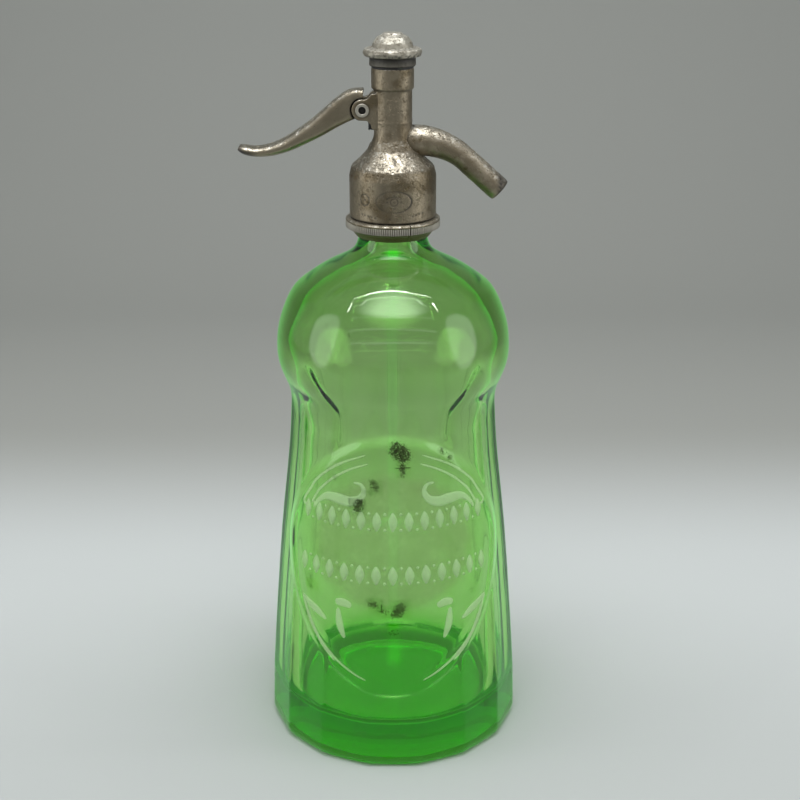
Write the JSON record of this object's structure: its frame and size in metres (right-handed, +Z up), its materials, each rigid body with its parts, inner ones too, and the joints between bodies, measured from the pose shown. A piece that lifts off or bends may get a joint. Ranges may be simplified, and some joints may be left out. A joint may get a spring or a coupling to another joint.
{
  "type": "soda siphon",
  "caption": "Green glass siphon bottle with a flared faceted body and a screwed metal head; a side lever lifts a spring-loaded valve and soda leaves by a bent spout.",
  "frame": {"origin": "centre of the bottle's foot, on the surface it stands on", "axes": "+Z up along the bottle axis, +X towards the spout, -X towards the lever, -Y is the front with the round panel"},
  "size_m": [0.1204, 0.1125, 0.31],
  "materials": {
    "green_glass": "clear green pressed glass with a frosted panel ornament",
    "worn_tin": "worn tinned casting, pitted and dulled",
    "bright_rivet": "rubbed bright",
    "brass": "turned, dulled",
    "spring_steel": "drawn wire",
    "black_rubber": "aged",
    "packing_leather": "greased",
    "tube_glass": "clear"
  },
  "bodies": {
    "siphon": {"glass_bottle": "green_glass", "collar_half_left": "worn_tin", "collar_half_right": "worn_tin", "lip_gasket": "black_rubber", "head_body": "worn_tin", "spout": "worn_tin", "lever_pin": "bright_rivet", "cap": "worn_tin", "cap_washer": "black_rubber", "plunger_spring": "spring_steel", "piston_packing": "packing_leather", "packing_follower": "brass", "valve_seat": "brass", "tube_nut": "brass", "tube_seal": "black_rubber", "dip_tube": "tube_glass", "slot_strip": "black_rubber"},
    "lever": {"lever": "worn_tin"},
    "plunger": {"plunger": "brass", "valve_rubber": "black_rubber", "valve_nut": "brass", "spring_washer": "brass"}
  },
  "joints": [
    {"name": "lever_hinge", "type": "hinge", "parent": "siphon", "child": "lever", "pos_m": [-0.0124, 0, 0.2797], "axis": [0, -1, 0], "range_deg": [0, 12], "stiffness_Nm_per_rad": 0.2306, "springref_deg": -18.48},
    {"name": "plunger_slide", "type": "slide", "parent": "siphon", "child": "plunger", "axis": [0, 0, 1], "range_m": [0, 0.0026], "deforming": ["plunger_spring"]}
  ],
  "couplings": [
    {"joint": "plunger_slide", "follows": "lever_hinge", "m_per_rad": 0.0124}
  ]
}
